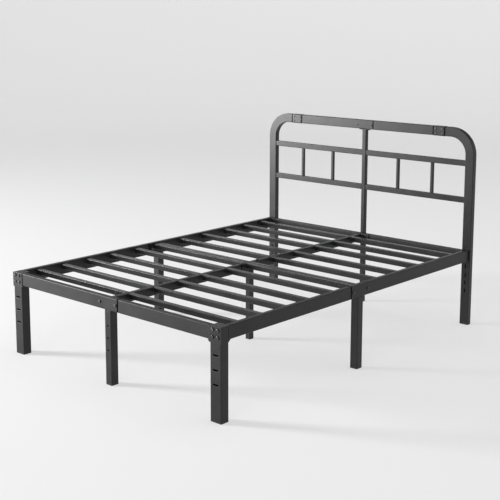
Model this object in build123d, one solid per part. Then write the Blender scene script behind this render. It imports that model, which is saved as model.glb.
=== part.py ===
"""Steel platform bed frame for a full-size mattress, with a tube headboard.

Rectangular steel tubes are bolted together on nine legs. X runs across the bed,
+Y towards the head, +Z up. The origin is on the floor under the middle of the frame.
All sizes are in millimetres.
"""
import os

from build123d import *

# --- platform -----------------------------------------------------------------
PLATFORM_WIDTH = 1372.0
PLATFORM_LENGTH = 1892.0
PLATFORM_HEIGHT = 405.0

# --- headboard ----------------------------------------------------------------
HEADBOARD_OVERHANG = 9.0
HEADBOARD_HEIGHT = 1043.0
POST_WIDTH = 50.0
POST_DEPTH = 30.0
BEND_OUTER_RADIUS = 140.0
CENTRE_POST_WIDTH = 25.0
CROSS_BAR_HEIGHT = 30.0
CROSS_BAR_DEPTH = 20.0
UPPER_BAR_DROP = 183.0
LOWER_BAR_DROP = 377.0
SPINDLE_SIZE = 16.0
SPINDLE_FROM_CENTRE_POST = 211.5
SPINDLE_FROM_OUTER_POST = 203.0
SLEEVE_LENGTH = 65.0
SLEEVE_PROUD = 1.0
SLEEVE_END_GAP = 6.0
TOP_JOINT_FROM_EDGE = 211.5
TOP_SEAM_X = 60.0
TOP_SEAM_GAP = 6.0
TOP_BOLT_X = 48.0

# --- rails --------------------------------------------------------------------
RAIL_HEIGHT = 60.0
RAIL_WIDTH = 25.0
HEAD_RAIL_WIDTH = 26.0
CENTRE_RAIL_WIDTH = 26.0
CENTRE_RAIL_HEIGHT = 40.0
SLAT_DROP = 5.0
TUBE_WALL = 1.5
TUBE_CORNER = 3.0

# --- slats --------------------------------------------------------------------
SLAT_SIZE = 25.0
SLAT_WALL = 1.2
SLAT_CORNER = 2.5
FIRST_SLAT_Y = 115.0
LAST_SLAT_TO_HEAD_RAIL = 78.0
SLAT_TO_BEAM_GAP = 4.5
FOOT_HALF_SPACINGS = (151.0, 156.0, 157.0, 174.0, 142.0)
HEAD_HALF_SPACINGS = (174.0, 184.0, 161.0, 155.0)
FIRST_HEAD_SLAT_FROM_BEAM = 139.0

# --- legs ---------------------------------------------------------------------
CORNER_LEG_WIDTH = 60.0
CORNER_LEG_DEPTH = 45.0
MID_LEG_SIZE = 40.0
CENTRE_LEG_SIZE = 30.0
MID_LEG_Y = 937.0
LEG_CAP_PLATE = 2.5

# --- foot caps ----------------------------------------------------------------
FOOT_THICKNESS = 5.0
FOOT_PLUG_HEIGHT = 18.0
FOOT_PLUG_CLEARANCE = 0.3

# --- slots and holes in the legs ------------------------------------------------
CORNER_SLOT_LENGTH = 30.0
CORNER_SLOT_WIDTH = 8.0
CORNER_SLOT_TOP_DROP = 61.0
CORNER_SLOT_PITCH = 62.0
CORNER_SLOT_COUNT = 3
FOOT_LEG_SLOT_LENGTH = 11.0
FOOT_LEG_SLOT_WIDTH = 8.0
FOOT_LEG_SLOT_TOP_DROP = 72.0
FOOT_LEG_SLOT_PITCH = 56.0
POST_SLOT_LENGTH = 23.0
POST_SLOT_WIDTH = 7.0
POST_SLOT_DROPS = (30.0, 76.0, 117.0, 160.0)

# --- joints -------------------------------------------------------------------
FIT_GAP = 0.5
SEAM_GAP = 8.0
FOOT_BOLT_OFFSET = 52.0
FOOT_SEAM_PAST_BOLT = 15.0
SIDE_BOLT_PAST_SLAT = 5.5
SIDE_SEAM_PAST_BOLT = 19.0
SPIGOT_WALL = 1.5
SPIGOT_CLEARANCE = 1.0
SPIGOT_PAST_BOLT = 18.0
SPIGOT_ANCHOR = 40.0
SLEEVE_FIT = 0.4
NECK_ANCHOR = 25.0
PLATE = 3.0
MID_PLATE_PAST_BOLT = 13.0
MID_PLATE_TOP_DROP = 10.0
CORNER_PLATE = 2.5
CORNER_PLATE_SIDE_OVERLAP = 3.0
CORNER_PLATE_RAIL_OVERLAP = 6.0
CORNER_PLATE_DROP = 10.0
CORNER_PLATE_LOW_OVERLAP = 1.5
GUSSET_LENGTH = 11.0
GUSSET_TIP = 2.0
CORNER_BOLT_TOP_DROP = 14.0
CORNER_BOLT_LOW_RISE = 15.0
HEAD_BOLT_EDGE = 13.0
NUT_SIDE_CLEARANCE = 0.5

# --- fasteners ----------------------------------------------------------------
BOLT_DIAMETER = 8.0
BOLT_HEAD_DIAMETER = 14.0
BOLT_HEAD_HEIGHT = 4.5
BOLT_HEX = 5.0
BOLT_HEX_DEPTH = 2.6
BOLT_PAST_NUT = 2.0
BOLT_HOLE_CLEARANCE = 0.5
NUT_FLATS = 13.0
NUT_HEIGHT = 6.5
NUT_THREAD_CLEARANCE = 0.1
SCREW_DIAMETER = 6.0
SCREW_HEAD_DIAMETER = 11.0
SCREW_HEAD_HEIGHT = 3.3
SCREW_HEX = 4.0
SCREW_HEX_DEPTH = 2.1
SCREW_LENGTH = 12.0
SCREW_HOLE_CLEARANCE = 0.2
SLEEVE_SCREW_X = 20.0
SLEEVE_SCREW_Z = 13.0
UNDER_SCREW_PAST_POST = 6.0

# --- places that follow from the sizes above ------------------------------------
FOOT_Y = -(PLATFORM_LENGTH + POST_DEPTH - CORNER_PLATE) / 2
HEAD_Y = FOOT_Y + PLATFORM_LENGTH
HEAD_RAIL_Y = HEAD_Y - HEAD_RAIL_WIDTH
HALF_WIDTH = PLATFORM_WIDTH / 2
RAIL_IN_X = HALF_WIDTH - RAIL_WIDTH
LEG_IN_X = HALF_WIDTH - CORNER_LEG_WIDTH
LEG_X = HALF_WIDTH - CORNER_LEG_WIDTH / 2
RAIL_LOW_Z = PLATFORM_HEIGHT - RAIL_HEIGHT
RAIL_MID_Z = PLATFORM_HEIGHT - RAIL_HEIGHT / 2
SLAT_TOP_Z = PLATFORM_HEIGHT - SLAT_DROP
SLAT_MID_Z = SLAT_TOP_Z - SLAT_SIZE / 2
CENTRE_RAIL_LOW_Z = SLAT_TOP_Z - CENTRE_RAIL_HEIGHT
CENTRE_RAIL_MID_Z = SLAT_TOP_Z - CENTRE_RAIL_HEIGHT / 2
MID_Y = FOOT_Y + MID_LEG_Y
NUT_RADIUS = NUT_FLATS / 3**0.5
MID_BOLT_OFFSET = 1.5 * SLAT_SIZE + SLAT_TO_BEAM_GAP + NUT_RADIUS + SIDE_BOLT_PAST_SLAT
MID_PLATE_HALF_LENGTH = MID_BOLT_OFFSET + MID_PLATE_PAST_BOLT
FOOT_PLATE_HALF_LENGTH = FOOT_BOLT_OFFSET + MID_PLATE_PAST_BOLT
MID_PLATE_TOP_Z = PLATFORM_HEIGHT - MID_PLATE_TOP_DROP
FOOT_SEAM_X = FOOT_BOLT_OFFSET + FOOT_SEAM_PAST_BOLT
SIDE_SEAM_Y = MID_Y - MID_BOLT_OFFSET - SIDE_SEAM_PAST_BOLT
CORNER_BACK_Y = FOOT_Y + CORNER_LEG_DEPTH
HEADBOARD_HALF_WIDTH = HALF_WIDTH + HEADBOARD_OVERHANG
POST_X = HEADBOARD_HALF_WIDTH - POST_WIDTH / 2
POST_Y = HEAD_Y + POST_DEPTH / 2
TOP_RAIL_Z = HEADBOARD_HEIGHT - POST_WIDTH / 2
TOP_RAIL_LOW_Z = HEADBOARD_HEIGHT - POST_WIDTH
TOP_JOINT_X = HEADBOARD_HALF_WIDTH - TOP_JOINT_FROM_EDGE
UPPER_BAR_Z = HEADBOARD_HEIGHT - UPPER_BAR_DROP
LOWER_BAR_Z = HEADBOARD_HEIGHT - LOWER_BAR_DROP
SPINDLE_INNER_X = CENTRE_POST_WIDTH / 2 + SPINDLE_FROM_CENTRE_POST
SPINDLE_OUTER_X = POST_X - POST_WIDTH / 2 - SPINDLE_FROM_OUTER_POST
BEND_RADIUS = BEND_OUTER_RADIUS - POST_WIDTH / 2
CENTRE_POST_Y = HEAD_Y + CENTRE_POST_WIDTH / 2
BOLT_HOLE_RADIUS = BOLT_DIAMETER / 2 + BOLT_HOLE_CLEARANCE
SCREW_HOLE_RADIUS = SCREW_DIAMETER / 2 + SCREW_HOLE_CLEARANCE
CORNER_BOLT_OUTER_X = RAIL_IN_X + TUBE_WALL + NUT_RADIUS + NUT_SIDE_CLEARANCE
CORNER_BOLT_INNER_X = 2 * LEG_X - CORNER_BOLT_OUTER_X
CORNER_BOLT_ROWS = (PLATFORM_HEIGHT - CORNER_BOLT_TOP_DROP, RAIL_LOW_Z + CORNER_BOLT_LOW_RISE)
HEAD_BOLT_X = HALF_WIDTH - RAIL_WIDTH / 2
HEAD_BOLT_ROWS = (PLATFORM_HEIGHT - HEAD_BOLT_EDGE, RAIL_LOW_Z + HEAD_BOLT_EDGE)
UNDER_SCREW_X = CENTRE_POST_WIDTH / 2 + SCREW_HEAD_DIAMETER / 2 + UNDER_SCREW_PAST_POST
SIDES = {"left": -1, "right": 1}


# --- building blocks ------------------------------------------------------------
def box_between(x0, x1, y0, y1, z0, z1):
    """A plain block between two opposite corners."""
    block = Box(abs(x1 - x0), abs(y1 - y0), abs(z1 - z0))
    return Pos((x0 + x1) / 2, (y0 + y1) / 2, (z0 + z1) / 2) * block


def tube_section(width, depth, wall, corner):
    """Section of a rectangular tube with rounded corners."""
    outer = RectangleRounded(width, depth, corner)
    inner_corner = max(corner - wall, 0.3)
    inner = RectangleRounded(width - 2 * wall, depth - 2 * wall, inner_corner)
    return outer - inner


def tube_x(x0, x1, y, z, deep, high, wall=TUBE_WALL, corner=TUBE_CORNER):
    """A tube across the bed, from x0 to x1."""
    low = min(x0, x1)
    plane = Plane(origin=(low, y, z), x_dir=(0, 1, 0), z_dir=(1, 0, 0))
    return extrude(plane * tube_section(deep, high, wall, corner), abs(x1 - x0))


def tube_y(y0, y1, x, z, wide, high, wall=TUBE_WALL, corner=TUBE_CORNER):
    """A tube along the bed, from y0 to y1."""
    plane = Plane(origin=(x, y0, z), x_dir=(1, 0, 0), z_dir=(0, 1, 0))
    return extrude(plane * tube_section(wide, high, wall, corner), y1 - y0)


def tube_z(z0, z1, x, y, wide, deep, wall=TUBE_WALL, corner=TUBE_CORNER):
    """An upright tube, from z0 to z1."""
    plane = Plane(origin=(x, y, z0), x_dir=(1, 0, 0), z_dir=(0, 0, 1))
    return extrude(plane * tube_section(wide, deep, wall, corner), z1 - z0)


def rod(start, direction, length, radius):
    """A round bar from a point along a direction."""
    plane = Plane(origin=start, z_dir=direction)
    return extrude(plane * Circle(radius), length)


def slot_cut(x, y, z, length, width, upright=False, through=2 * TUBE_WALL):
    """Cutter for a round-ended slot in a wall that faces the foot of the bed."""
    plane = Plane(origin=(x, y - TUBE_WALL / 2, z), x_dir=(1, 0, 0), z_dir=(0, 1, 0))
    shape = SlotOverall(length, width, rotation=90 if upright else 0)
    return extrude(plane * shape, through)


def spigot_size(outer):
    """Outer size of the short tube that slides inside a tube of this outer size."""
    return outer - 2 * TUBE_WALL - 2 * SPIGOT_CLEARANCE


# --- bolt positions: (head point, direction into the work, grip) ------------------
def corner_bolts():
    """Four bolts through each corner plate, leg and end plate."""
    grip = CORNER_PLATE + CORNER_LEG_DEPTH + PLATE
    for side in SIDES.values():
        for x in (CORNER_BOLT_INNER_X, CORNER_BOLT_OUTER_X):
            for z in CORNER_BOLT_ROWS:
                yield (side * x, FOOT_Y - CORNER_PLATE, z), (0, 1, 0), grip


def foot_middle_bolts():
    """Two bolts through the foot rail into the plate of the foot's middle leg."""
    for across in (-1, 1):
        yield (across * FOOT_BOLT_OFFSET, FOOT_Y, RAIL_MID_Z), (0, 1, 0), RAIL_WIDTH + PLATE


def side_middle_bolts():
    """Two bolts through each side rail into the plate of its middle leg."""
    for side in SIDES.values():
        for along in (-1, 1):
            y = MID_Y + along * MID_BOLT_OFFSET
            yield (side * HALF_WIDTH, y, RAIL_MID_Z), (-side, 0, 0), RAIL_WIDTH + PLATE


def centre_rail_bolts():
    """Two upright bolts through the centre rail into the plate of the centre leg."""
    for along in (-1, 1):
        y = MID_Y + along * MID_BOLT_OFFSET
        yield (0, y, SLAT_TOP_Z), (0, 0, -1), CENTRE_RAIL_HEIGHT + PLATE


def head_bolts():
    """Bolts from behind each post through the head rail and the end plate."""
    for side in SIDES.values():
        for z in HEAD_BOLT_ROWS:
            grip = POST_DEPTH + HEAD_RAIL_WIDTH + PLATE
            yield (side * HEAD_BOLT_X, HEAD_Y + POST_DEPTH, z), (0, -1, 0), grip
    grip = CENTRE_POST_WIDTH + HEAD_RAIL_WIDTH + PLATE
    yield (0, HEAD_Y + CENTRE_POST_WIDTH, CENTRE_RAIL_MID_Z), (0, -1, 0), grip


def all_frame_bolts():
    """Every frame bolt in one list."""
    bolts = list(corner_bolts())
    bolts += list(foot_middle_bolts())
    bolts += list(side_middle_bolts())
    bolts += list(centre_rail_bolts())
    bolts += list(head_bolts())
    return bolts


def sleeve_screws():
    """Four screws in the front of each connector sleeve."""
    front = HEAD_Y - SLEEVE_PROUD
    for side in SIDES.values():
        for across in (-1, 1):
            for up in (-1, 1):
                x = side * TOP_JOINT_X + across * SLEEVE_SCREW_X
                yield (x, front, TOP_RAIL_Z + up * SLEEVE_SCREW_Z), (0, 1, 0)


def top_rail_screws():
    """Two screws in the front of the top rail's middle joint."""
    for across in (-1, 1):
        yield (across * TOP_BOLT_X, HEAD_Y, TOP_RAIL_Z), (0, 1, 0)


def under_screws():
    """Two screws that hold the centre post's plate under the top rail."""
    for across in (-1, 1):
        yield (across * UNDER_SCREW_X, CENTRE_POST_Y, TOP_RAIL_LOW_Z - PLATE), (0, 0, 1)


def all_screws():
    """Every headboard screw in one list."""
    return list(sleeve_screws()) + list(top_rail_screws()) + list(under_screws())


def drill(shape, bolts):
    """Clearance holes for frame bolts, along each bolt's grip."""
    for start, direction, grip in bolts:
        shape -= rod(start, direction, grip, BOLT_HOLE_RADIUS)
    return shape


def drill_screws(shape, screws):
    """Holes for headboard screws, along each screw's length."""
    for start, direction in screws:
        shape -= rod(start, direction, SCREW_LENGTH, SCREW_HOLE_RADIUS)
    return shape


# --- rails ----------------------------------------------------------------------
def corner_plate(side):
    """Flat plate on the foot rail's end that covers the corner leg's face.

    Beside the leg it hangs below the rail as a small chamfered tab.
    """
    outer = HALF_WIDTH + CORNER_PLATE_SIDE_OVERLAP
    inner = LEG_IN_X - CORNER_PLATE_RAIL_OVERLAP
    low_inner = LEG_IN_X - CORNER_PLATE_LOW_OVERLAP
    tab = LEG_IN_X - GUSSET_LENGTH
    low = RAIL_LOW_Z - CORNER_PLATE_DROP
    tab_low = RAIL_LOW_Z - GUSSET_TIP
    points = [
        (outer, PLATFORM_HEIGHT),
        (outer, low),
        (low_inner, low),
        (tab, tab_low),
        (tab, RAIL_LOW_Z),
        (inner, RAIL_LOW_Z),
        (inner, PLATFORM_HEIGHT),
    ]
    plane = Plane(origin=(0, FOOT_Y, 0), x_dir=(1, 0, 0), z_dir=(0, -1, 0))
    outline = make_face(Polyline([(side * x, z) for x, z in points], close=True))
    return extrude(plane * outline, CORNER_PLATE)


def foot_rail(name):
    """Half of the foot rail. The left one is long and covers the middle leg."""
    side = SIDES[name]
    seam = FOOT_SEAM_X - SEAM_GAP / 2 if side < 0 else FOOT_SEAM_X + SEAM_GAP / 2
    end = side * (LEG_IN_X - FIT_GAP)
    y = FOOT_Y + RAIL_WIDTH / 2
    rail = tube_x(seam, end, y, RAIL_MID_Z, RAIL_WIDTH, RAIL_HEIGHT)
    rail += corner_plate(side)
    if side > 0:
        tip = FOOT_BOLT_OFFSET - SPIGOT_PAST_BOLT
        deep = spigot_size(RAIL_WIDTH)
        high = spigot_size(RAIL_HEIGHT)
        spigot = tube_x(tip, seam + SPIGOT_ANCHOR, y, RAIL_MID_Z, deep, high, SPIGOT_WALL)
        weld = box_between(
            seam + 1,
            seam + SPIGOT_ANCHOR,
            y - RAIL_WIDTH / 2 + TUBE_WALL,
            y + RAIL_WIDTH / 2 - TUBE_WALL,
            RAIL_MID_Z - high / 2 + SPIGOT_WALL,
            RAIL_MID_Z + high / 2 - SPIGOT_WALL,
        )
        weld -= box_between(
            seam,
            seam + SPIGOT_ANCHOR + 1,
            y - deep / 2 + SPIGOT_WALL,
            y + deep / 2 - SPIGOT_WALL,
            RAIL_LOW_Z,
            PLATFORM_HEIGHT,
        )
        rail = rail + spigot + weld
    return drill(rail, list(foot_middle_bolts()) + list(corner_bolts()))


def side_end_plate(side, y0, low):
    """Plate welded across the end of a side rail, as wide as the corner leg."""
    plate = box_between(side * LEG_IN_X, side * HALF_WIDTH, y0, y0 + PLATE, low, PLATFORM_HEIGHT)
    return plate


def side_gusset(side):
    """Small chamfered plate under the side rail beside the corner leg."""
    y0 = CORNER_BACK_Y + PLATE
    points = [
        (y0, RAIL_LOW_Z),
        (y0, RAIL_LOW_Z - CORNER_PLATE_DROP),
        (y0 + GUSSET_LENGTH, RAIL_LOW_Z - GUSSET_TIP),
        (y0 + GUSSET_LENGTH, RAIL_LOW_Z),
    ]
    inner = side * (HALF_WIDTH - TUBE_CORNER)
    plane = Plane(origin=(inner, 0, 0), x_dir=(0, 1, 0), z_dir=(1, 0, 0))
    outline = make_face(Polyline(points, close=True))
    return extrude(plane * outline, -side * PLATE)


def side_rail(name, part):
    """Half of a side rail: the foot half has the spigot, the head half covers the leg."""
    side = SIDES[name]
    x = side * (HALF_WIDTH - RAIL_WIDTH / 2)
    if part == "foot":
        start = CORNER_BACK_Y + PLATE
        seam = SIDE_SEAM_Y - SEAM_GAP / 2
        rail = tube_y(start, seam, x, RAIL_MID_Z, RAIL_WIDTH, RAIL_HEIGHT)
        rail += side_end_plate(side, CORNER_BACK_Y, RAIL_LOW_Z - CORNER_PLATE_DROP)
        rail += side_gusset(side)
        tip = MID_Y - MID_BOLT_OFFSET + SPIGOT_PAST_BOLT
        wide = spigot_size(RAIL_WIDTH)
        high = spigot_size(RAIL_HEIGHT)
        spigot = tube_y(seam - SPIGOT_ANCHOR, tip, x, RAIL_MID_Z, wide, high, SPIGOT_WALL)
        weld = box_between(
            x - RAIL_WIDTH / 2 + TUBE_WALL,
            x + RAIL_WIDTH / 2 - TUBE_WALL,
            seam - SPIGOT_ANCHOR,
            seam - 1,
            RAIL_MID_Z - high / 2 + SPIGOT_WALL,
            RAIL_MID_Z + high / 2 - SPIGOT_WALL,
        )
        weld -= box_between(
            x - wide / 2 + SPIGOT_WALL,
            x + wide / 2 - SPIGOT_WALL,
            seam - SPIGOT_ANCHOR - 1,
            seam,
            RAIL_LOW_Z,
            PLATFORM_HEIGHT,
        )
        rail = rail + spigot + weld
    else:
        seam = SIDE_SEAM_Y + SEAM_GAP / 2
        end = HEAD_RAIL_Y - PLATE
        rail = tube_y(seam, end, x, RAIL_MID_Z, RAIL_WIDTH, RAIL_HEIGHT)
        rail += side_end_plate(side, end, RAIL_LOW_Z)
    rail = drill(rail, corner_bolts())
    rail = drill(rail, side_middle_bolts())
    return drill(rail, head_bolts())


def head_rail():
    """Rail across the head, over the ends of the side rails."""
    half = HALF_WIDTH - FOOT_PLUG_CLEARANCE - PLATE
    y = HEAD_RAIL_Y + HEAD_RAIL_WIDTH / 2
    rail = tube_x(-half, half, y, RAIL_MID_Z, HEAD_RAIL_WIDTH, RAIL_HEIGHT)
    return drill(rail, head_bolts())


def centre_rail(part):
    """Half of the centre rail, joined beside the centre leg."""
    size = (CENTRE_RAIL_WIDTH, CENTRE_RAIL_HEIGHT)
    if part == "foot":
        start = FOOT_Y + RAIL_WIDTH + PLATE + FIT_GAP
        seam = SIDE_SEAM_Y - SEAM_GAP / 2
        rail = tube_y(start, seam, 0, CENTRE_RAIL_MID_Z, *size)
        tip = MID_Y - MID_BOLT_OFFSET + SPIGOT_PAST_BOLT
        wide = spigot_size(CENTRE_RAIL_WIDTH)
        high = spigot_size(CENTRE_RAIL_HEIGHT)
        spigot = tube_y(seam - SPIGOT_ANCHOR, tip, 0, CENTRE_RAIL_MID_Z, wide, high, SPIGOT_WALL)
        weld = box_between(
            -CENTRE_RAIL_WIDTH / 2 + TUBE_WALL,
            CENTRE_RAIL_WIDTH / 2 - TUBE_WALL,
            seam - SPIGOT_ANCHOR,
            seam - 1,
            CENTRE_RAIL_MID_Z - high / 2 + SPIGOT_WALL,
            CENTRE_RAIL_MID_Z + high / 2 - SPIGOT_WALL,
        )
        weld -= box_between(
            -wide / 2 + SPIGOT_WALL,
            wide / 2 - SPIGOT_WALL,
            seam - SPIGOT_ANCHOR - 1,
            seam,
            CENTRE_RAIL_LOW_Z,
            SLAT_TOP_Z,
        )
        rail = rail + spigot + weld
    else:
        seam = SIDE_SEAM_Y + SEAM_GAP / 2
        end = HEAD_RAIL_Y - PLATE
        rail = tube_y(seam, end, 0, CENTRE_RAIL_MID_Z, *size)
        half = CENTRE_RAIL_WIDTH
        rail += box_between(-half, half, end, HEAD_RAIL_Y, CENTRE_RAIL_LOW_Z, SLAT_TOP_Z)
    rail = drill(rail, centre_rail_bolts())
    return drill(rail, head_bolts())


# --- slats and middle beams -------------------------------------------------------
def stepped(first, last, spacings):
    """Places from first to last whose gaps keep the proportions of the spacings."""
    scale = (last - first) / sum(spacings)
    places = [first]
    for spacing in spacings:
        places.append(places[-1] + spacing * scale)
    return places


def slat_places():
    """Foot-side edge of each slat, from the foot to the head."""
    beam = MID_Y - SLAT_SIZE / 2
    last_foot = beam - SLAT_TO_BEAM_GAP - SLAT_SIZE
    foot_half = stepped(FOOT_Y + FIRST_SLAT_Y, last_foot, FOOT_HALF_SPACINGS)
    first_head = MID_Y + SLAT_SIZE / 2 + FIRST_HEAD_SLAT_FROM_BEAM
    last_head = HEAD_RAIL_Y - LAST_SLAT_TO_HEAD_RAIL - SLAT_SIZE
    head_half = stepped(first_head, last_head, HEAD_HALF_SPACINGS)
    return foot_half, head_half


def cross_tube(side, y0, outer_x):
    """A square tube between the centre rail and a side rail."""
    y = y0 + SLAT_SIZE / 2
    inner_x = CENTRE_RAIL_WIDTH / 2
    size = (SLAT_SIZE, SLAT_SIZE, SLAT_WALL, SLAT_CORNER)
    return tube_x(side * inner_x, side * outer_x, y, SLAT_MID_Z, *size)


def slat_outer_x(y0):
    """Where a slat ends: the side rail, or the middle leg's plate where that is behind."""
    near_plate = y0 < MID_Y + MID_PLATE_HALF_LENGTH
    near_plate = near_plate and y0 + SLAT_SIZE > MID_Y - MID_PLATE_HALF_LENGTH
    return RAIL_IN_X - PLATE if near_plate else RAIL_IN_X


# --- legs -------------------------------------------------------------------------
def corner_leg(name):
    """Wide leg at a foot corner, slotted for a footboard."""
    x = SIDES[name] * LEG_X
    y = FOOT_Y + CORNER_LEG_DEPTH / 2
    leg = tube_z(FOOT_THICKNESS, PLATFORM_HEIGHT, x, y, CORNER_LEG_WIDTH, CORNER_LEG_DEPTH)
    top = RectangleRounded(CORNER_LEG_WIDTH, CORNER_LEG_DEPTH, TUBE_CORNER)
    leg += extrude(Pos(x, y, PLATFORM_HEIGHT - LEG_CAP_PLATE) * top, LEG_CAP_PLATE)
    for i in range(CORNER_SLOT_COUNT):
        z = RAIL_LOW_Z - CORNER_SLOT_TOP_DROP - i * CORNER_SLOT_PITCH
        leg -= slot_cut(x, FOOT_Y, z, CORNER_SLOT_LENGTH, CORNER_SLOT_WIDTH)
    return drill(leg, corner_bolts())


def capped_leg(x, y, size, top_z):
    """Square leg with a flat plate welded on its top."""
    leg = tube_z(FOOT_THICKNESS, top_z, x, y, size, size)
    top = RectangleRounded(size, size, TUBE_CORNER)
    return leg + extrude(Pos(x, y, top_z - LEG_CAP_PLATE) * top, LEG_CAP_PLATE)


def foot_middle_leg():
    """Leg under the middle of the foot rail, with a plate behind the rail."""
    leg = capped_leg(0, FOOT_Y + MID_LEG_SIZE / 2, MID_LEG_SIZE, RAIL_LOW_Z)
    plate_y = FOOT_Y + RAIL_WIDTH
    half = FOOT_PLATE_HALF_LENGTH
    leg += box_between(-half, half, plate_y, plate_y + PLATE, RAIL_LOW_Z, MID_PLATE_TOP_Z)
    for i in range(CORNER_SLOT_COUNT):
        z = RAIL_LOW_Z - FOOT_LEG_SLOT_TOP_DROP - i * FOOT_LEG_SLOT_PITCH
        leg -= slot_cut(0, FOOT_Y, z, FOOT_LEG_SLOT_LENGTH, FOOT_LEG_SLOT_WIDTH, upright=True)
    return drill(leg, foot_middle_bolts())


def side_middle_leg(name):
    """Leg under the middle of a side rail, with a plate inside the rail."""
    side = SIDES[name]
    leg = capped_leg(side * (HALF_WIDTH - MID_LEG_SIZE / 2), MID_Y, MID_LEG_SIZE, RAIL_LOW_Z)
    half = MID_PLATE_HALF_LENGTH
    leg += box_between(
        side * (RAIL_IN_X - PLATE),
        side * RAIL_IN_X,
        MID_Y - half,
        MID_Y + half,
        RAIL_LOW_Z,
        MID_PLATE_TOP_Z,
    )
    return drill(leg, side_middle_bolts())


def centre_leg():
    """Leg under the centre rail, with a flat plate that the rail is bolted to."""
    top_z = CENTRE_RAIL_LOW_Z - PLATE
    leg = capped_leg(0, MID_Y, CENTRE_LEG_SIZE, top_z)
    half = MID_PLATE_HALF_LENGTH
    wide = CENTRE_RAIL_WIDTH / 2
    leg += box_between(-wide, wide, MID_Y - half, MID_Y + half, top_z, CENTRE_RAIL_LOW_Z)
    return drill(leg, centre_rail_bolts())


# --- headboard ----------------------------------------------------------------------
def neck(side, tip, shoulder):
    """Smaller tube welded inside a headboard tube's end, from under the sleeve."""
    inward = 1 if shoulder > tip else -1
    root = shoulder + inward * NECK_ANCHOR
    collar = shoulder + inward * PLATE
    deep = spigot_size(POST_DEPTH)
    high = spigot_size(POST_WIDTH)
    inner = tube_x(side * tip, side * root, POST_Y, TOP_RAIL_Z, deep, high, SPIGOT_WALL)
    wall = (POST_WIDTH - TUBE_WALL - high) / 2 + SPIGOT_WALL
    size = (POST_DEPTH - TUBE_WALL, POST_WIDTH - TUBE_WALL, wall)
    return inner + tube_x(side * collar, side * root, POST_Y, TOP_RAIL_Z, *size)


def headboard_post(name):
    """Bent tube: up from the floor, round the corner and along to the sleeve."""
    side = SIDES[name]
    bend_x = POST_X - BEND_RADIUS
    bend_z = TOP_RAIL_Z - BEND_RADIUS
    post = tube_z(FOOT_THICKNESS, bend_z, side * POST_X, POST_Y, POST_WIDTH, POST_DEPTH)
    section_plane = Plane(
        origin=(side * POST_X, POST_Y, bend_z), x_dir=(1, 0, 0), z_dir=(0, 0, 1)
    )
    section = section_plane * tube_section(POST_WIDTH, POST_DEPTH, TUBE_WALL, TUBE_CORNER)
    axis = Axis((side * bend_x, POST_Y, bend_z), (0, -side, 0))
    post += revolve(section, axis, 90)
    end = TOP_JOINT_X + SLEEVE_LENGTH / 2 + SLEEVE_END_GAP
    post += tube_x(side * end, side * bend_x, POST_Y, TOP_RAIL_Z, POST_DEPTH, POST_WIDTH)
    post += neck(side, TOP_JOINT_X + FIT_GAP, end)
    for drop in POST_SLOT_DROPS:
        slot = (side * POST_X, HEAD_Y, RAIL_LOW_Z - drop, POST_SLOT_LENGTH, POST_SLOT_WIDTH)
        post -= slot_cut(*slot, upright=True)
    post = drill(post, head_bolts())
    return drill_screws(post, sleeve_screws())


def top_rail(name):
    """Half of the headboard's top rail. The right one carries the inner joint tube."""
    side = SIDES[name]
    seam = TOP_SEAM_X + side * TOP_SEAM_GAP / 2
    end = TOP_JOINT_X - SLEEVE_LENGTH / 2 - SLEEVE_END_GAP
    rail = tube_x(seam, side * end, POST_Y, TOP_RAIL_Z, POST_DEPTH, POST_WIDTH)
    rail += neck(side, TOP_JOINT_X - FIT_GAP, end)
    if side > 0:
        tip = -TOP_BOLT_X - SPIGOT_PAST_BOLT
        deep = spigot_size(POST_DEPTH)
        high = spigot_size(POST_WIDTH)
        inner = tube_x(tip, seam + SPIGOT_ANCHOR, POST_Y, TOP_RAIL_Z, deep, high, SPIGOT_WALL)
        weld = box_between(
            seam + 1,
            seam + SPIGOT_ANCHOR,
            POST_Y - POST_DEPTH / 2 + TUBE_WALL,
            POST_Y + POST_DEPTH / 2 - TUBE_WALL,
            TOP_RAIL_Z - high / 2 + SPIGOT_WALL,
            TOP_RAIL_Z + high / 2 - SPIGOT_WALL,
        )
        weld -= box_between(
            seam,
            seam + SPIGOT_ANCHOR + 1,
            POST_Y - deep / 2 + SPIGOT_WALL,
            POST_Y + deep / 2 - SPIGOT_WALL,
            TOP_RAIL_LOW_Z,
            HEADBOARD_HEIGHT,
        )
        rail = rail + inner + weld
    return drill_screws(rail, all_screws())


def sleeve(name):
    """Short tube over the necks where a bent post meets the top rail."""
    x = SIDES[name] * TOP_JOINT_X
    half = SLEEVE_LENGTH / 2
    deep = POST_DEPTH + 2 * SLEEVE_PROUD
    high = POST_WIDTH + 2 * SLEEVE_PROUD
    wall = (high - spigot_size(POST_WIDTH)) / 2 - SLEEVE_FIT
    corner = TUBE_CORNER + SLEEVE_PROUD
    shape = tube_x(x - half, x + half, POST_Y, TOP_RAIL_Z, deep, high, wall, corner)
    return drill_screws(shape, sleeve_screws())


def centre_post():
    """Square post from the floor to the plate under the top rail."""
    top_z = TOP_RAIL_LOW_Z - PLATE
    size = (CENTRE_POST_WIDTH, CENTRE_POST_WIDTH)
    post = tube_z(FOOT_THICKNESS, top_z, 0, CENTRE_POST_Y, *size)
    half = UNDER_SCREW_X + SCREW_HEAD_DIAMETER / 2 + PLATE
    deep = CENTRE_POST_WIDTH / 2
    post += box_between(
        -half, half, CENTRE_POST_Y - deep, CENTRE_POST_Y + deep, top_z, TOP_RAIL_LOW_Z
    )
    post = drill(post, head_bolts())
    return drill_screws(post, under_screws())


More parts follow.
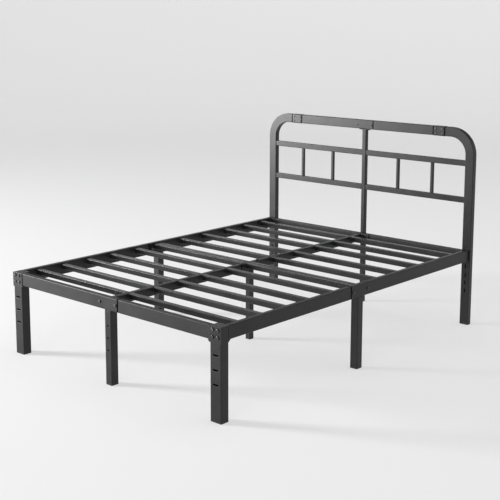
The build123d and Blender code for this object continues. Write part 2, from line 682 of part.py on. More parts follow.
def cross_bar(name, z):
    """Flat bar tube between a post and the centre post."""
    side = SIDES[name]
    outer = POST_X - POST_WIDTH / 2
    inner = CENTRE_POST_WIDTH / 2
    size = (CROSS_BAR_DEPTH, CROSS_BAR_HEIGHT, SLAT_WALL, SLAT_CORNER)
    return tube_x(side * inner, side * outer, CENTRE_POST_Y, z, *size)


def spindle(x):
    """Short upright tube between the two cross bars."""
    low = LOWER_BAR_Z + CROSS_BAR_HEIGHT / 2
    high = UPPER_BAR_Z - CROSS_BAR_HEIGHT / 2
    return tube_z(low, high, x, CENTRE_POST_Y, SPINDLE_SIZE, SPINDLE_SIZE, SLAT_WALL, SLAT_CORNER)


# --- caps ---------------------------------------------------------------------------
def foot_cap(x, y, wide, deep):
    """Plastic cap: a flush foot with a plug inside the tube."""
    foot = extrude(Pos(x, y, 0) * RectangleRounded(wide, deep, TUBE_CORNER), FOOT_THICKNESS)
    foot = chamfer(foot.edges().group_by(Axis.Z)[0], 1.0)
    inset = TUBE_WALL + FOOT_PLUG_CLEARANCE
    plug = RectangleRounded(wide - 2 * inset, deep - 2 * inset, TUBE_CORNER - TUBE_WALL)
    return foot + extrude(Pos(x, y, FOOT_THICKNESS) * plug, FOOT_PLUG_HEIGHT)


def foot_caps():
    """One cap in the bottom of every leg and post."""
    caps = []
    for side in SIDES.values():
        corner_y = FOOT_Y + CORNER_LEG_DEPTH / 2
        caps.append(foot_cap(side * LEG_X, corner_y, CORNER_LEG_WIDTH, CORNER_LEG_DEPTH))
        mid_x = side * (HALF_WIDTH - MID_LEG_SIZE / 2)
        caps.append(foot_cap(mid_x, MID_Y, MID_LEG_SIZE, MID_LEG_SIZE))
        caps.append(foot_cap(side * POST_X, POST_Y, POST_WIDTH, POST_DEPTH))
    caps.append(foot_cap(0, FOOT_Y + MID_LEG_SIZE / 2, MID_LEG_SIZE, MID_LEG_SIZE))
    caps.append(foot_cap(0, MID_Y, CENTRE_LEG_SIZE, CENTRE_LEG_SIZE))
    caps.append(foot_cap(0, CENTRE_POST_Y, CENTRE_POST_WIDTH, CENTRE_POST_WIDTH))
    return Compound(children=caps)


def head_rail_caps():
    """Plastic plugs in the two open ends of the head rail."""
    caps = []
    y = HEAD_RAIL_Y + HEAD_RAIL_WIDTH / 2
    inset = TUBE_WALL + FOOT_PLUG_CLEARANCE
    for side in SIDES.values():
        plane = Plane(
            origin=(side * HALF_WIDTH, y, RAIL_MID_Z), x_dir=(0, 1, 0), z_dir=(-side, 0, 0)
        )
        lid = RectangleRounded(HEAD_RAIL_WIDTH, RAIL_HEIGHT, TUBE_CORNER)
        cap = extrude(plane * lid, PLATE)
        plug = RectangleRounded(
            HEAD_RAIL_WIDTH - 2 * inset, RAIL_HEIGHT - 2 * inset, TUBE_CORNER - TUBE_WALL
        )
        plug_plane = plane.offset(PLATE)
        caps.append(cap + extrude(plug_plane * plug, PLATE))
    return Compound(children=caps)


# --- fasteners ------------------------------------------------------------------------
def button_bolt(start, direction, length, sizes):
    """Domed bolt with a hexagon socket. The head stands back from the start point."""
    diameter, head_diameter, head_height, hexagon, hex_depth = sizes
    plane = Plane(origin=start, z_dir=direction)
    head_plane = plane.offset(-head_height)
    head = extrude(head_plane * Circle(head_diameter / 2), head_height)
    rim = head.faces().sort_by(Axis(start, direction))[0].edges()
    head = fillet(rim, head_height * 0.6)
    head -= extrude(head_plane * RegularPolygon(hexagon / 2, 6, major_radius=False), hex_depth)
    return head + extrude(plane * Circle(diameter / 2), length)


def frame_bolts():
    """All frame bolts, as separate solids."""
    sizes = (BOLT_DIAMETER, BOLT_HEAD_DIAMETER, BOLT_HEAD_HEIGHT, BOLT_HEX, BOLT_HEX_DEPTH)
    bolts = []
    for start, direction, grip in all_frame_bolts():
        length = grip + NUT_HEIGHT + BOLT_PAST_NUT
        bolts.append(button_bolt(start, direction, length, sizes))
    return Compound(children=bolts)


def frame_nuts():
    """A hexagon nut at the far side of each frame bolt's grip."""
    nuts = []
    for start, direction, grip in all_frame_bolts():
        plane = Plane(origin=start, z_dir=direction).offset(grip)
        hole = Circle(BOLT_DIAMETER / 2 + NUT_THREAD_CLEARANCE)
        section = RegularPolygon(NUT_FLATS / 2, 6, major_radius=False) - hole
        nuts.append(extrude(plane * section, NUT_HEIGHT))
    return Compound(children=nuts)


def headboard_screws():
    """All headboard screws, as separate solids."""
    sizes = (
        SCREW_DIAMETER,
        SCREW_HEAD_DIAMETER,
        SCREW_HEAD_HEIGHT,
        SCREW_HEX,
        SCREW_HEX_DEPTH,
    )
    screws = []
    for start, direction in all_screws():
        screws.append(button_bolt(start, direction, SCREW_LENGTH, sizes))
    return Compound(children=screws)


# --- writing the parts ------------------------------------------------------------------
def build():
    """Every piece by its node name."""
    parts = {}
    for name, side in SIDES.items():
        parts[f"foot_rail_{name}"] = foot_rail(name)
        parts[f"side_rail_{name}_foot"] = side_rail(name, "foot")
        parts[f"side_rail_{name}_head"] = side_rail(name, "head")
        parts[f"corner_leg_{name}"] = corner_leg(name)
        parts[f"side_leg_{name}"] = side_middle_leg(name)
        parts[f"headboard_post_{name}"] = headboard_post(name)
        parts[f"headboard_top_rail_{name}"] = top_rail(name)
        parts[f"headboard_sleeve_{name}"] = sleeve(name)
        parts[f"headboard_upper_bar_{name}"] = cross_bar(name, UPPER_BAR_Z)
        parts[f"headboard_lower_bar_{name}"] = cross_bar(name, LOWER_BAR_Z)
        for place, x in (("inner", SPINDLE_INNER_X), ("outer", SPINDLE_OUTER_X)):
            parts[f"headboard_spindle_{name}_{place}"] = spindle(side * x)
        parts[f"middle_beam_{name}"] = cross_tube(side, MID_Y - SLAT_SIZE / 2, RAIL_IN_X - PLATE)
        foot_half, head_half = slat_places()
        for number, y0 in enumerate(foot_half + head_half, start=1):
            parts[f"slat_{name}_{number:02d}"] = cross_tube(side, y0, slat_outer_x(y0))
    parts["head_rail"] = head_rail()
    parts["centre_rail_foot"] = centre_rail("foot")
    parts["centre_rail_head"] = centre_rail("head")
    parts["foot_middle_leg"] = foot_middle_leg()
    parts["centre_leg"] = centre_leg()
    parts["headboard_centre_post"] = centre_post()
    parts["foot_caps"] = foot_caps()
    parts["head_rail_caps"] = head_rail_caps()
    parts["frame_bolts"] = frame_bolts()
    parts["frame_nuts"] = frame_nuts()
    parts["headboard_screws"] = headboard_screws()
    return parts


os.makedirs("parts", exist_ok=True)
for node, shape in build().items():
    shape.label = node
    export_step(shape, f"parts/{node}.step")
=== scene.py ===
import math
import random

import bmesh
import bpy
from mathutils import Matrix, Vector


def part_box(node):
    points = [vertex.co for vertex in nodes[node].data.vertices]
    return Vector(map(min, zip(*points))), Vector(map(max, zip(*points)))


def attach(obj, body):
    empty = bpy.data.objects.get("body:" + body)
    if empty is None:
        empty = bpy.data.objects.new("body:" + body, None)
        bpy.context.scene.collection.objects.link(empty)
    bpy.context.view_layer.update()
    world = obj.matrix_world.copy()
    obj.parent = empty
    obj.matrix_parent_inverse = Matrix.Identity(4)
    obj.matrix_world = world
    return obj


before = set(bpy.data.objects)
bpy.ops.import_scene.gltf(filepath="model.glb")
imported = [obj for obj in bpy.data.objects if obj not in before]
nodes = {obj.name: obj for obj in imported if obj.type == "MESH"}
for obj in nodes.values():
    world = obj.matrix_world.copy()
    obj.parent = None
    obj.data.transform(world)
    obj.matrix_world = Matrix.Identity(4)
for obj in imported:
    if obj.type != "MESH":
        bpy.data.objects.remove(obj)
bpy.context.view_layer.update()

scene = bpy.context.scene
scene.view_settings.view_transform = "Standard"


# --- Camera. It stands off the foot's right corner, higher than the headboard. It
# is turned towards the head's left side and tilted a little down.
CAMERA_PLACE = (3.494, -3.929, 1.642)
CAMERA_TURN = math.radians(42.62)
CAMERA_TILT = math.radians(-9.50)
CAMERA_SENSOR = 36
CAMERA_LENS = 77.01
CAMERA_SHIFT_X = 0.030
CAMERA_SHIFT_Y = -0.120

camera_data = bpy.data.cameras.new("camera")
camera_data.sensor_width = CAMERA_SENSOR
camera_data.lens = CAMERA_LENS
camera_data.shift_x = CAMERA_SHIFT_X
camera_data.shift_y = CAMERA_SHIFT_Y
camera = bpy.data.objects.new("camera", camera_data)
camera.location = CAMERA_PLACE
camera.rotation_euler = (math.pi / 2 + CAMERA_TILT, 0, CAMERA_TURN)
scene.collection.objects.link(camera)
scene.camera = camera


# --- Studio sweep. A wide round floor of matt white acrylic, lit from below as
# product tables are, curves up all round, far from the bed, into a wall.
SWEEP_RING_STEP = 1.5
SWEEP_FLAT_RINGS = 6
SWEEP_BEND_RADIUS = 3.0
SWEEP_BEND_STEPS = 12
SWEEP_WALL_TOP = 6.0
SWEEP_SIDES = 96
SWEEP_WHITE = (0.45, 0.45, 0.45, 1)
SWEEP_ROUGHNESS = 0.9
SWEEP_SPECULAR = 0.1
SWEEP_GLOW_COLOUR = (1, 1, 1, 1)
SWEEP_GLOW = 0.48


def new_finish(name):
    """Empty node material and its shader."""
    finish = bpy.data.materials.new(name)
    finish.use_nodes = True
    return finish, finish.node_tree.nodes["Principled BSDF"]


def smooth_piece(name, mesh, finish):
    """Object made from a bmesh, smooth shaded, in one finish."""
    for face in mesh.faces:
        face.smooth = True
    data = bpy.data.meshes.new(name)
    mesh.to_mesh(data)
    mesh.free()
    piece = bpy.data.objects.new(name, data)
    piece.data.materials.append(finish)
    scene.collection.objects.link(piece)
    return piece


def sweep_profile():
    """(radius, height) of each ring, from the middle of the floor to the wall's top."""
    profile = [(SWEEP_RING_STEP * (ring + 1), 0.0) for ring in range(SWEEP_FLAT_RINGS)]
    flat_radius = profile[-1][0]
    for step in range(1, SWEEP_BEND_STEPS + 1):
        turn = math.pi / 2 * step / SWEEP_BEND_STEPS
        radius = flat_radius + SWEEP_BEND_RADIUS * math.sin(turn)
        profile.append((radius, SWEEP_BEND_RADIUS * (1 - math.cos(turn))))
    profile.append((flat_radius + SWEEP_BEND_RADIUS, SWEEP_WALL_TOP))
    return profile


def sweep_mesh():
    mesh = bmesh.new()
    centre = mesh.verts.new((0, 0, 0))
    rings = []
    for radius, height in sweep_profile():
        ring = []
        for side in range(SWEEP_SIDES):
            angle = 2 * math.pi * side / SWEEP_SIDES
            place = (radius * math.cos(angle), radius * math.sin(angle), height)
            ring.append(mesh.verts.new(place))
        rings.append(ring)
    for side in range(SWEEP_SIDES):
        after = (side + 1) % SWEEP_SIDES
        mesh.faces.new((centre, rings[0][side], rings[0][after]))
        for inner, outer in zip(rings, rings[1:]):
            mesh.faces.new((inner[side], outer[side], outer[after], inner[after]))
    return mesh


acrylic, acrylic_shader = new_finish("white_acrylic")
acrylic_shader.inputs["Base Color"].default_value = SWEEP_WHITE
acrylic_shader.inputs["Roughness"].default_value = SWEEP_ROUGHNESS
acrylic_shader.inputs["Specular IOR Level"].default_value = SWEEP_SPECULAR
acrylic_shader.inputs["Emission Color"].default_value = SWEEP_GLOW_COLOUR
acrylic_shader.inputs["Emission Strength"].default_value = SWEEP_GLOW
sweep = smooth_piece("studio_sweep", sweep_mesh(), acrylic)


# --- Studio lights. A tall narrow softbox stands low at the foot's left and gives
# the headboard its sheen; a wide one hangs overhead and a weak one fills the foot.
AIR_COLOUR = (1, 1, 1, 1)
AIR_GLOW = 0.03


def softbox(name, place, target, width, height, power):
    lamp = bpy.data.lights.new(name, "AREA")
    lamp.shape = "RECTANGLE"
    lamp.size = width
    lamp.size_y = height
    lamp.energy = power
    stand = bpy.data.objects.new(name, lamp)
    stand.location = place
    aim = Vector(target) - Vector(place)
    stand.rotation_euler = aim.to_track_quat("-Z", "Y").to_euler()
    stand.visible_camera = False
    scene.collection.objects.link(stand)


softbox("key_light", place=(-6.2, -4.95, 1.85), target=(0, -0.2, 0.4),
        width=1.55, height=3.1, power=1000)
softbox("foot_light", place=(2.0, -7.2, 2.4), target=(0.4, 0, 0.2),
        width=4.0, height=2.0, power=60)
softbox("top_light", place=(1.6, 1.4, 6.5), target=(1.3, 1.1, 0),
        width=8.0, height=8.0, power=215)

air = bpy.data.worlds.new("studio_air")
air.use_nodes = True
air.node_tree.nodes["Background"].inputs["Color"].default_value = AIR_COLOUR
air.node_tree.nodes["Background"].inputs["Strength"].default_value = AIR_GLOW
scene.world = air


# --- Legs. Two wide slotted tubes at the foot's corners and four square ones under
# the middle of the foot, the sides and the centre rail. They are mild steel, welded
# to their plates and sprayed with satin black powder, which bakes to an orange peel.
COAT_DEEP = (0.0095, 0.0095, 0.0100, 1)
COAT_PALE = (0.0160, 0.0160, 0.0168, 1)
# Paler edge colour: partly worn powder, partly a painted highlight.
COAT_EDGE_WEAR_AND_HIGHLIGHT = (0.050, 0.050, 0.052, 1)
# Near black painted shade for hollows, joint gaps and bolt sockets.
PAINTED_SHADE_BLACK = (0.002, 0.002, 0.002, 1)
COAT_SPECULAR = 0.3
FILM_SCALE = 9
FILM_SPAN = (0.30, 0.72)
SHEEN_SPAN = (0.25, 0.75)
SHEEN_SWING = 0.05
GRAIN_SCALE = 1600
GRAIN_SPAN = (0.62, 0.80)
GRAIN_SHARE = 0.5
COAT_EDGE_RADIUS = 0.0022
COAT_EDGE_SPAN = (0.90, 0.995)
COAT_EDGE_ROUGHNESS = 0.27
# Patches that break up the painted edge wear and highlight.
RUB_AND_HIGHLIGHT_SCALE = 60
RUB_AND_HIGHLIGHT_SPAN = (0.25, 0.75)
RUB_AND_HIGHLIGHT_LEAST = 0.35
CREVICE_REACH = 0.012
CREVICE_SPAN = (0.25, 0.60)
# Roughness of the painted shade.
PAINTED_SHADE_ROUGHNESS = 0.85
PEEL_SCALE = 520
PEEL_DEPTH = 0.00003
PEEL_STRENGTH = 0.6
GAP_RIM = 0.0001
EDGE_SAMPLES = 6
HOLLOW_SAMPLES = 6
MIX_SHARE_SOCKET = 0
MIX_COLOUR_SOCKETS = (6, 7)
MIX_RESULT_SOCKET = 2
COMPARE_VALUE_SOCKET = 1
COMPARE_REACH_SOCKET = 2


def link(tree, source, output, target, socket):
    tree.links.new(source.outputs[output], target.inputs[socket])


def grey(level):
    return (level, level, level, 1)


def ramp(tree, source, output, span, low, high):
    """Colour that goes from low to high as a grey output crosses the span."""
    node = tree.nodes.new("ShaderNodeValToRGB")
    for stop, place, colour in zip(node.color_ramp.elements, span, (low, high)):
        stop.position = place
        stop.color = colour
    link(tree, source, output, node, "Fac")
    return node.outputs["Color"]


def blend_colours(tree, share, first, second):
    """Mix of two colours, each an output or a plain colour, by a grey output."""
    node = tree.nodes.new("ShaderNodeMix")
    node.data_type = "RGBA"
    tree.links.new(share, node.inputs[MIX_SHARE_SOCKET])
    for socket, colour in zip(MIX_COLOUR_SOCKETS, (first, second)):
        if isinstance(colour, tuple):
            node.inputs[socket].default_value = colour
        else:
            tree.links.new(colour, node.inputs[socket])
    return node.outputs[MIX_RESULT_SOCKET]


def noise(tree, place, scale, detail, roughness):
    node = tree.nodes.new("ShaderNodeTexNoise")
    node.inputs["Scale"].default_value = scale
    node.inputs["Detail"].default_value = detail
    node.inputs["Roughness"].default_value = roughness
    link(tree, place, "Vector", node, "Vector")
    return node


def own_place(tree, offset):
    """The piece's own coordinates, shifted so that each finish has its own pattern."""
    spot = tree.nodes.new("ShaderNodeTexCoord")
    place = tree.nodes.new("ShaderNodeMapping")
    place.inputs["Location"].default_value = offset
    link(tree, spot, "Object", place, "Vector")
    return place


def edge_share(tree, radius, span):
    """The rounded normal, and a grey output that is white on the edges."""
    rounded = tree.nodes.new("ShaderNodeBevel")
    rounded.samples = EDGE_SAMPLES
    rounded.inputs["Radius"].default_value = radius
    shape = tree.nodes.new("ShaderNodeNewGeometry")
    across = tree.nodes.new("ShaderNodeVectorMath")
    across.operation = "DOT_PRODUCT"
    link(tree, rounded, "Normal", across, 0)
    link(tree, shape, "True Normal", across, 1)
    return rounded, ramp(tree, across, "Value", span, grey(1), grey(0))


def hollow_share(tree, reach, span):
    """Grey output that is white in hollows, as judged over the reach."""
    hollow = tree.nodes.new("ShaderNodeAmbientOcclusion")
    hollow.samples = HOLLOW_SAMPLES
    hollow.inputs["Distance"].default_value = reach
    return ramp(tree, hollow, "AO", span, grey(1), grey(0))


def gap_share(tree, share, gaps):
    """The grey output, made white as well in each (axis, from, to) gap."""
    spot = tree.nodes.new("ShaderNodeTexCoord")
    parts = tree.nodes.new("ShaderNodeSeparateXYZ")
    link(tree, spot, "Object", parts, "Vector")
    for axis, start, end in gaps:
        inside = tree.nodes.new("ShaderNodeMath")
        inside.operation = "COMPARE"
        link(tree, parts, axis, inside, 0)
        inside.inputs[COMPARE_VALUE_SOCKET].default_value = (start + end) / 2
        inside.inputs[COMPARE_REACH_SOCKET].default_value = (end - start) / 2 + GAP_RIM
        either = tree.nodes.new("ShaderNodeMath")
        either.operation = "MAXIMUM"
        tree.links.new(share, either.inputs[0])
        link(tree, inside, "Value", either, 1)
        share = either.outputs["Value"]
    return share


def relief(tree, pattern, depth, strength, rounded, shader):
    """Bump from a pattern, over the rounded normal where there is one."""
    bump = tree.nodes.new("ShaderNodeBump")
    bump.inputs["Strength"].default_value = strength
    bump.inputs["Distance"].default_value = depth
    link(tree, pattern, "Fac", bump, "Height")
    if rounded:
        link(tree, rounded, "Normal", bump, "Normal")
    link(tree, bump, "Normal", shader, "Normal")


def powder_coat(name, offset, roughness, gaps=()):
    finish, shader = new_finish(name)
    tree = finish.node_tree
    shader.inputs["Specular IOR Level"].default_value = COAT_SPECULAR
    place = own_place(tree, offset)

    # The film is thicker in some places than in others, and holds fine grains of
    # powder that melted last.
    cloud = noise(tree, place, scale=FILM_SCALE, detail=4, roughness=0.6)
    film = ramp(tree, cloud, "Fac", FILM_SPAN, COAT_DEEP, COAT_PALE)
    grain = noise(tree, place, scale=GRAIN_SCALE, detail=2, roughness=0.5)
    speck = ramp(tree, grain, "Fac", GRAIN_SPAN, grey(0), grey(GRAIN_SHARE))
    speckled = blend_colours(tree, speck, film, COAT_PALE)

    # On the edges the colour is painted paler, partly thin, rubbed powder and partly a
    # painted highlight, and the edges are smoother.
    rounded, edge = edge_share(tree, COAT_EDGE_RADIUS, COAT_EDGE_SPAN)
    rub_and_highlight_noise = noise(tree, place, scale=RUB_AND_HIGHLIGHT_SCALE, detail=3, roughness=0.6)
    rub_and_highlight = ramp(tree, rub_and_highlight_noise, "Fac", RUB_AND_HIGHLIGHT_SPAN, grey(RUB_AND_HIGHLIGHT_LEAST), grey(1))
    edge_wear_and_highlight = blend_colours(tree, edge, grey(0), rub_and_highlight)
    edged = blend_colours(tree, edge_wear_and_highlight, speckled, COAT_EDGE_WEAR_AND_HIGHLIGHT)

    # Slots, deep corners and the tubes inside the joints are painted near black and matt,
    # as painted shade.
    crevice = hollow_share(tree, CREVICE_REACH, CREVICE_SPAN)
    painted_shade = gap_share(tree, crevice, gaps)
    coloured = blend_colours(tree, painted_shade, edged, PAINTED_SHADE_BLACK)
    tree.links.new(coloured, shader.inputs["Base Color"])
    tree.links.new(painted_shade, shader.inputs["Metallic"])

    # The paler parts of the film are a little duller, and the painted shade is dullest.
    low, high = grey(roughness - SHEEN_SWING), grey(roughness + SHEEN_SWING)
    sheen = ramp(tree, cloud, "Fac", SHEEN_SPAN, low, high)
    shiny = blend_colours(tree, edge_wear_and_highlight, sheen, grey(COAT_EDGE_ROUGHNESS))
    dulled = blend_colours(tree, painted_shade, shiny, grey(PAINTED_SHADE_ROUGHNESS))
    tree.links.new(dulled, shader.inputs["Roughness"])

    peel = noise(tree, place, scale=PEEL_SCALE, detail=2, roughness=0.45)
    relief(tree, peel, PEEL_DEPTH, PEEL_STRENGTH, rounded, shader)
    return finish


def coat(finish, *names):
    for name in names:
        node = nodes[name]
        node.data.materials.clear()
        node.data.materials.append(finish)


leg_coat = powder_coat("leg_powder_coat", offset=(3.1, 0.4, 1.7), roughness=0.37)
coat(leg_coat, "corner_leg_left", "corner_leg_right", "side_leg_left", "side_leg_right")
coat(leg_coat, "foot_middle_leg", "centre_leg")


# --- Caps. Moulded black polyethylene feet are pushed into every tube that meets
# the floor, and flat plugs close the two open ends of the head rail.
CAP_BLACK = (0.010, 0.010, 0.011, 1)
CAP_SCUFF = (0.028, 0.028, 0.029, 1)
CAP_SPECULAR = 0.35
CAP_CLOUD_SCALE = 45
CAP_TINT_SPAN = (0.35, 0.85)
CAP_DULL_SPAN = (0.3, 0.7)
CAP_SMOOTHEST = 0.50
CAP_ROUGHEST = 0.66
CAP_SPARK_SCALE = 1400
CAP_SPARK_DEPTH = 0.00005
CAP_SPARK_STRENGTH = 0.5


def moulded_plastic():
    finish, shader = new_finish("cap_plastic")
    tree = finish.node_tree
    shader.inputs["Specular IOR Level"].default_value = CAP_SPECULAR
    place = own_place(tree, offset=(0.2, 0.7, 0.1))
    cloud = noise(tree, place, scale=CAP_CLOUD_SCALE, detail=3, roughness=0.6)
    tint = ramp(tree, cloud, "Fac", CAP_TINT_SPAN, CAP_BLACK, CAP_SCUFF)
    tree.links.new(tint, shader.inputs["Base Color"])
    dull = ramp(tree, cloud, "Fac", CAP_DULL_SPAN, grey(CAP_SMOOTHEST), grey(CAP_ROUGHEST))
    tree.links.new(dull, shader.inputs["Roughness"])
    spark = noise(tree, place, scale=CAP_SPARK_SCALE, detail=2, roughness=0.5)
    relief(tree, spark, CAP_SPARK_DEPTH, CAP_SPARK_STRENGTH, None, shader)
    return finish


coat(moulded_plastic(), "foot_caps", "head_rail_caps")


# --- Rails. Rectangular steel tubes run round the platform and down its middle. All
# but the head rail are in two lengths, with a short tube welded inside one of them
# at the joint, and have plates welded on where their ends are bolted.
# The rail joint gaps get the powder coat's painted shade.
RAIL_GAP = 0.008

foot_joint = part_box("foot_rail_left")[1][0]
long_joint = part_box("side_rail_right_head")[0][1]
cross_coat = powder_coat("cross_rail_powder_coat", offset=(0.9, 5.2, 2.3), roughness=0.42,
                         gaps=[("X", foot_joint, foot_joint + RAIL_GAP)])
long_coat = powder_coat("long_rail_powder_coat", offset=(2.9, 0.2, 5.3), roughness=0.40,
                        gaps=[("Y", long_joint - RAIL_GAP, long_joint)])
coat(cross_coat, "foot_rail_left", "foot_rail_right", "head_rail")
coat(long_coat, "side_rail_left_foot", "side_rail_left_head")
coat(long_coat, "side_rail_right_foot", "side_rail_right_head")
coat(long_coat, "centre_rail_foot", "centre_rail_head")


# --- Slats and middle beams. Square steel tubes cross each half of the platform
# between the centre rail and a side rail, a little below the side rail's top.
slat_coat = powder_coat("slat_powder_coat", offset=(6.3, 1.1, 4.8), roughness=0.29)
slat_names = sorted(name for name in nodes if name.startswith(("slat_", "middle_beam_")))
coat(slat_coat, *slat_names)


# --- Slat welds. Each end of a slat or beam is welded up both sides and along its
# bottom with a small hand-laid fillet, whose ripples still show under the powder.
WELD_LEG = 0.0026
WELD_SINK = 0.0004
WELD_ARC = 5
WELD_BELLY = 0.10
WELD_RIPPLE = 0.0021
WELD_RIPPLE_DEPTH = 0.12
WELD_RIPPLE_LAG = 0.3
WELD_RIPPLE_STEPS = 4
WELD_LEAST_STEPS = 6
WELD_END = 0.003
WELD_END_SIZE = 0.35
WELD_LEAST_SWELL = 0.92
WELD_MOST_SWELL = 1.08
WELD_SEED = 11
SLAT_WELD_INSET = 0.003
SLAT_WELD_RISE = 0.002

weld_hand = random.Random(WELD_SEED)


def weld_ring(middle, along, face_a, face_b, size):
    """Points of one slice of a bead: its root in the corner, then its rounded face."""
    ring = [middle - (face_a + face_b) * WELD_SINK]
    for part in range(WELD_ARC):
        angle = math.pi / 2 * part / (WELD_ARC - 1)
        belly = math.sin(2 * angle)
        reach = size * (1 + WELD_BELLY * belly) / (math.cos(angle) + math.sin(angle))
        point = middle + (face_a * math.cos(angle) + face_b * math.sin(angle)) * reach
        point -= along * (WELD_RIPPLE_LAG * WELD_RIPPLE * belly)
        if part == 0:
            point -= face_b * WELD_SINK
        if part == WELD_ARC - 1:
            point -= face_a * WELD_SINK
        ring.append(point)
    return ring


def weld_bead(mesh, start, end, face_a, face_b):
    """Rippled fillet from start to end, in the corner of faces that look along a and b."""
    start, end = Vector(start), Vector(end)
    face_a, face_b = Vector(face_a), Vector(face_b)
    length = (end - start).length
    along = (end - start) / length
    steps = max(WELD_LEAST_STEPS, round(length / WELD_RIPPLE) * WELD_RIPPLE_STEPS)
    phase = weld_hand.uniform(0, 1)
    swell = weld_hand.uniform(WELD_LEAST_SWELL, WELD_MOST_SWELL)
    rings = []
    for step in range(steps + 1):
        travel = length * step / steps
        ripple = abs(math.sin(math.pi * (travel / WELD_RIPPLE + phase)))
        from_end = min(travel, length - travel) / WELD_END
        taper = min(1.0, WELD_END_SIZE + (1 - WELD_END_SIZE) * from_end)
        crest = 1 - WELD_RIPPLE_DEPTH + WELD_RIPPLE_DEPTH * ripple
        size = WELD_LEG * swell * taper * crest
        points = weld_ring(start + along * travel, along, face_a, face_b, size)
        rings.append([mesh.verts.new(point) for point in points])
    count = WELD_ARC + 1
    for first, second in zip(rings, rings[1:]):
        for i in range(count):
            j = (i + 1) % count
            mesh.faces.new((first[i], first[j], second[j], second[i]))
    mesh.faces.new(list(reversed(rings[0])))
    mesh.faces.new(rings[-1])


def weld_piece(name, beads, finish):
    mesh = bmesh.new()
    for bead in beads:
        weld_bead(mesh, *bead)
    bmesh.ops.recalc_face_normals(mesh, faces=mesh.faces)
    piece = smooth_piece(name, mesh, finish)
    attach(piece, "root")


def slat_beads(name):
    low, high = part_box(name)
    bottom, top = low[2] + SLAT_WELD_RISE, high[2] - SLAT_WELD_INSET
    near, far = low[1] + SLAT_WELD_INSET, high[1] - SLAT_WELD_INSET
    beads = []
    for x, inward in ((low[0], 1), (high[0], -1)):
        face = (inward, 0, 0)
        beads.append(((x, low[1], bottom), (x, low[1], top), (0, -1, 0), face))
        beads.append(((x, high[1], bottom), (x, high[1], top), (0, 1, 0), face))
        beads.append(((x, near, low[2]), (x, far, low[2]), (0, 0, -1), face))
    return beads


for side in ("left", "right"):
    side_slats = [name for name in slat_names if f"_{side}" in name]
    beads = [bead for name in side_slats for bead in slat_beads(name)]
    weld_piece(f"slat_welds_{side}", beads, slat_coat)


# --- Headboard hoop. Two bent posts rise from the floor and turn inward to meet a
# two-part top rail; a short sleeve with four screws closes each joint.
# The hoop joint gaps get the powder coat's painted shade.
TOP_GAP = 0.006
SLEEVE_GAP = 0.006

top_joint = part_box("headboard_top_rail_left")[1][0]
hoop_gaps = [("X", top_joint, top_joint + TOP_GAP)]
for sleeve in ("headboard_sleeve_left", "headboard_sleeve_right"):
    low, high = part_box(sleeve)
    hoop_gaps.append(("X", low[0] - SLEEVE_GAP, low[0]))
    hoop_gaps.append(("X", high[0], high[0] + SLEEVE_GAP))
hoop_coat = powder_coat("hoop_powder_coat", offset=(2.2, 7.4, 0.6), roughness=0.35,
                        gaps=hoop_gaps)
coat(hoop_coat, "headboard_post_left", "headboard_post_right")
coat(hoop_coat, "headboard_top_rail_left", "headboard_top_rail_right")
coat(hoop_coat, "headboard_sleeve_left", "headboard_sleeve_right")


# --- Headboard infill. A square centre post stands under the top rail. Flat bar
# tubes are welded between it and the outer posts, and short square spindles
# between the bars.
BAR_WELD_INSET = 0.003
SPINDLE_WELD_INSET = 0.002

bar_names = sorted(name for name in nodes if "_bar_" in name)
spindle_names = sorted(name for name in nodes if "_spindle_" in name)
infill_coat = powder_coat("infill_powder_coat", offset=(4.2, 3.4, 8.6), roughness=0.35)
coat(infill_coat, "headboard_centre_post", *bar_names, *spindle_names)


def bar_beads(name):
    low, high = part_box(name)
    near, far = low[1] + BAR_WELD_INSET, high[1] - BAR_WELD_INSET
    bottom, top = low[2] + BAR_WELD_INSET, high[2] - BAR_WELD_INSET
    beads = []
    for x, inward in ((low[0], 1), (high[0], -1)):
        face = (inward, 0, 0)
        beads.append(((x, near, high[2]), (x, far, high[2]), (0, 0, 1), face))
        beads.append(((x, near, low[2]), (x, far, low[2]), (0, 0, -1), face))
        beads.append(((x, low[1], bottom), (x, low[1], top), (0, -1, 0), face))
    return beads


def spindle_beads(name):
    low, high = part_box(name)
    near, far = low[1] + SPINDLE_WELD_INSET, high[1] - SPINDLE_WELD_INSET
    beads = []
    for z, inward in ((low[2], 1), (high[2], -1)):
        face = (0, 0, inward)
        beads.append(((low[0], near, z), (low[0], far, z), (-1, 0, 0), face))
        beads.append(((high[0], near, z), (high[0], far, z), (1, 0, 0), face))
    return beads


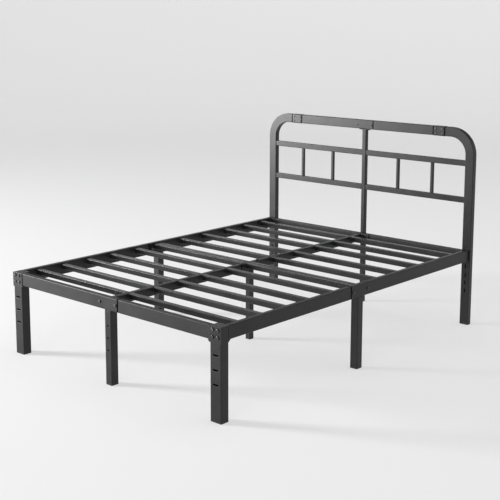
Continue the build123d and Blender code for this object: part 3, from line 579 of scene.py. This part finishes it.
headboard_beads = [bead for name in bar_names for bead in bar_beads(name)]
headboard_beads += [bead for name in spindle_names for bead in spindle_beads(name)]
weld_piece("headboard_welds", headboard_beads, infill_coat)


# --- Fasteners. Domed hexagon-socket bolts with nuts, and smaller screws in the
# headboard, are zinc plated and passivated black, a little brighter than the coat.
ZINC_DARK = (0.045, 0.045, 0.047, 1)
ZINC_BRIGHT = (0.13, 0.13, 0.135, 1)
# Bright edge colour, a painted highlight.
ZINC_EDGE_HIGHLIGHT = (0.45, 0.45, 0.46, 1)
ZINC_METALLIC = 1.0
ZINC_CLOUD_SCALE = 260
ZINC_CLOUD_SPAN = (0.3, 0.7)
ZINC_SMOOTHEST = 0.30
ZINC_ROUGHEST = 0.44
ZINC_EDGE_RADIUS = 0.0011
ZINC_EDGE_SPAN = (0.86, 0.99)
ZINC_RELIEF_DEPTH = 0.00003
ZINC_RELIEF_STRENGTH = 0.4
# Reach and span of the painted shade in the sockets.
SOCKET_REACH = 0.004
SOCKET_SPAN = (0.62, 0.85)


def black_zinc():
    finish, shader = new_finish("black_zinc")
    tree = finish.node_tree
    shader.inputs["Metallic"].default_value = ZINC_METALLIC
    place = own_place(tree, offset=(0.5, 0.3, 0.9))
    cloud = noise(tree, place, scale=ZINC_CLOUD_SCALE, detail=4, roughness=0.6)
    plating = ramp(tree, cloud, "Fac", ZINC_CLOUD_SPAN, ZINC_DARK, ZINC_BRIGHT)
    # The edges are painted bright, as a painted highlight.
    rounded, edge = edge_share(tree, ZINC_EDGE_RADIUS, ZINC_EDGE_SPAN)
    edged = blend_colours(tree, edge, plating, ZINC_EDGE_HIGHLIGHT)

    # The deep sockets are painted almost black, as painted shade.
    socket = hollow_share(tree, SOCKET_REACH, SOCKET_SPAN)
    coloured = blend_colours(tree, socket, edged, PAINTED_SHADE_BLACK)
    tree.links.new(coloured, shader.inputs["Base Color"])
    low, high = grey(ZINC_SMOOTHEST), grey(ZINC_ROUGHEST)
    dull = ramp(tree, cloud, "Fac", ZINC_CLOUD_SPAN, low, high)
    tree.links.new(dull, shader.inputs["Roughness"])
    relief(tree, cloud, ZINC_RELIEF_DEPTH, ZINC_RELIEF_STRENGTH, rounded, shader)
    return finish


coat(black_zinc(), "frame_bolts", "frame_nuts", "headboard_screws")
